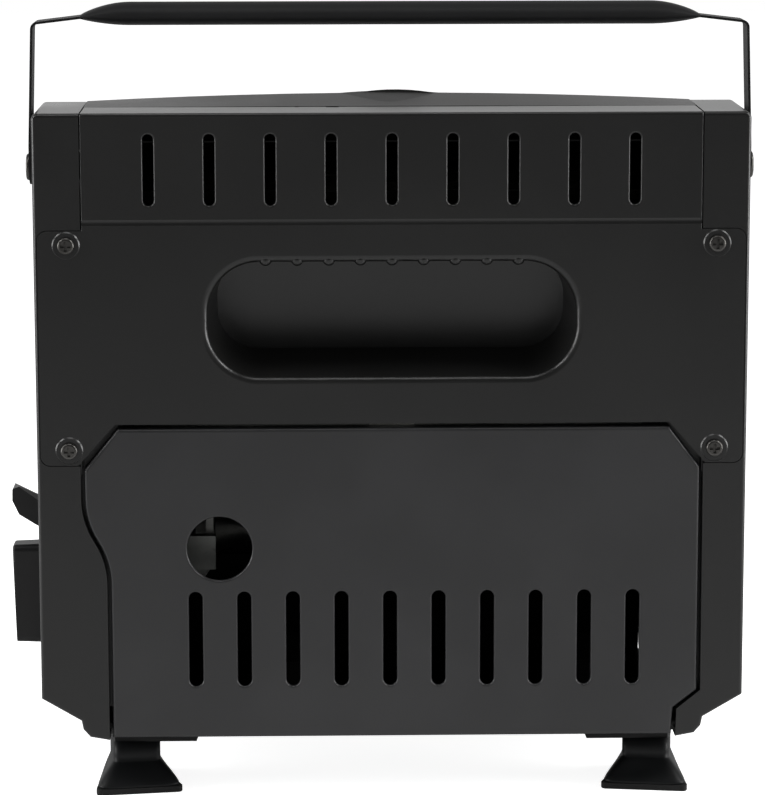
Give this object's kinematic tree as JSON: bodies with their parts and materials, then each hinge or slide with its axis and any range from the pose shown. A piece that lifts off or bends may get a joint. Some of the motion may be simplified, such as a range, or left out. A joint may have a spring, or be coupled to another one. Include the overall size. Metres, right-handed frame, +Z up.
{
  "type": "portable gas heater",
  "caption": "Table-top radiant heater with a gas cartridge bay behind a slotted rear door, a bail handle, a side knob and a lock lever.",
  "frame": {"origin": "on the ground under the middle of the whole outline, knob included", "axes": "+Z up; the burner faces -Y, the cartridge door faces +Y; the control knob is on the +X side"},
  "size_m": [0.3032, 0.1534, 0.3222],
  "materials": {
    "body_plastic": "moulded satin black, fine grain",
    "door_plastic": "moulded satin black, slightly lighter",
    "hood_plastic": "satin black, catches the sky",
    "knob_plastic": "dull black",
    "grip_plastic": "smooth black with a soft shine",
    "black_steel": "black stove enamel",
    "black_screw": "blackened steel",
    "zinc_steel": "zinc plated pressed steel",
    "bright_steel": "bright rolled stainless sheet",
    "chrome_wire": "plated wire",
    "brass": "machined brass",
    "cast_alloy": "die cast alloy",
    "rubber": "black rubber",
    "foot_plastic": "dull black moulding",
    "plaque_ceramic": "porous cordierite tile",
    "white_ceramic": "glazed insulator",
    "lead_rubber": "silicone sleeve",
    "igniter_plastic": "natural white moulding"
  },
  "bodies": {
    "heater": {"left_side_panel": "body_plastic", "right_side_panel": "body_plastic", "rear_cover": "body_plastic", "top_hood": "hood_plastic", "front_bezel": "black_steel", "base_pan": "black_steel", "rear_rail": "zinc_steel", "door_magnet": "igniter_plastic", "door_hinge_pins": "black_steel", "rear_cover_screws": "black_screw", "bezel_screws": "black_screw", "base_screws": "black_screw", "foot_screws": "zinc_steel", "left_front_foot": "foot_plastic", "left_rear_foot": "foot_plastic", "right_front_foot": "foot_plastic", "right_rear_foot": "foot_plastic", "foot_pads": "rubber", "handle_pivot_screws": "black_screw", "handle_washers": "zinc_steel", "handle_pivot_nuts": "zinc_steel", "reflector": "bright_steel", "burner_box": "zinc_steel", "ceramic_plaques": "plaque_ceramic", "plaque_frame": "bright_steel", "radiant_mesh": "bright_steel", "heat_shield": "zinc_steel", "wire_guard": "chrome_wire", "venturi_tube": "zinc_steel", "jet_block": "brass", "gas_jet": "brass", "jet_bracket": "zinc_steel", "gas_pipe": "brass", "regulator_body": "cast_alloy", "regulator_diaphragm": "rubber", "diaphragm_spring": "zinc_steel", "regulator_cap": "cast_alloy", "cartridge_seal": "rubber", "regulator_bracket": "zinc_steel", "slider_retainer": "zinc_steel", "lever_pin": "zinc_steel", "lever_bracket": "zinc_steel", "valve_body": "brass", "piezo_igniter": "igniter_plastic", "igniter_lead": "lead_rubber", "electrode_insulator": "white_ceramic", "electrode_rod": "bright_steel", "probe_brackets": "zinc_steel", "thermocouple": "bright_steel", "thermocouple_lead": "brass", "cartridge_saddles": "black_steel"},
    "handle": {"handle_strap": "black_steel", "handle_grip": "grip_plastic"},
    "door": {"cartridge_door": "door_plastic", "strike_plate": "zinc_steel"},
    "knob": {"control_knob": "knob_plastic", "valve_shaft": "brass"},
    "lever": {"lock_lever": "zinc_steel", "lever_pad": "knob_plastic"},
    "slider": {"collar_slider": "zinc_steel"}
  },
  "joints": [
    {"name": "handle_hinge", "type": "hinge", "parent": "heater", "child": "handle", "pos_m": [-0.0049, 0.046, 0.256], "axis": [1, 0, 0], "range_deg": [-139, 95]},
    {"name": "door_hinge", "type": "hinge", "parent": "heater", "child": "door", "pos_m": [-0.0049, 0.0705, 0.03], "axis": [-1, 0, 0], "range_deg": [0, 90]},
    {"name": "knob_spindle", "type": "hinge", "parent": "heater", "child": "knob", "pos_m": [0.1251, 0.03, 0.077], "axis": [1, 0, 0], "range_deg": [0, 90]},
    {"name": "lock_lever_pivot", "type": "hinge", "parent": "heater", "child": "lever", "pos_m": [0.1231, 0.03, 0.1032], "axis": [0, 1, 0], "range_deg": [0, 25]},
    {"name": "collar_slide", "type": "slide", "parent": "heater", "child": "slider", "axis": [1, 0, 0], "range_m": [0, 0.00396]}
  ],
  "couplings": [
    {"joint": "lock_lever_pivot", "follows": "collar_slide", "rad_per_m": 110.13}
  ]
}
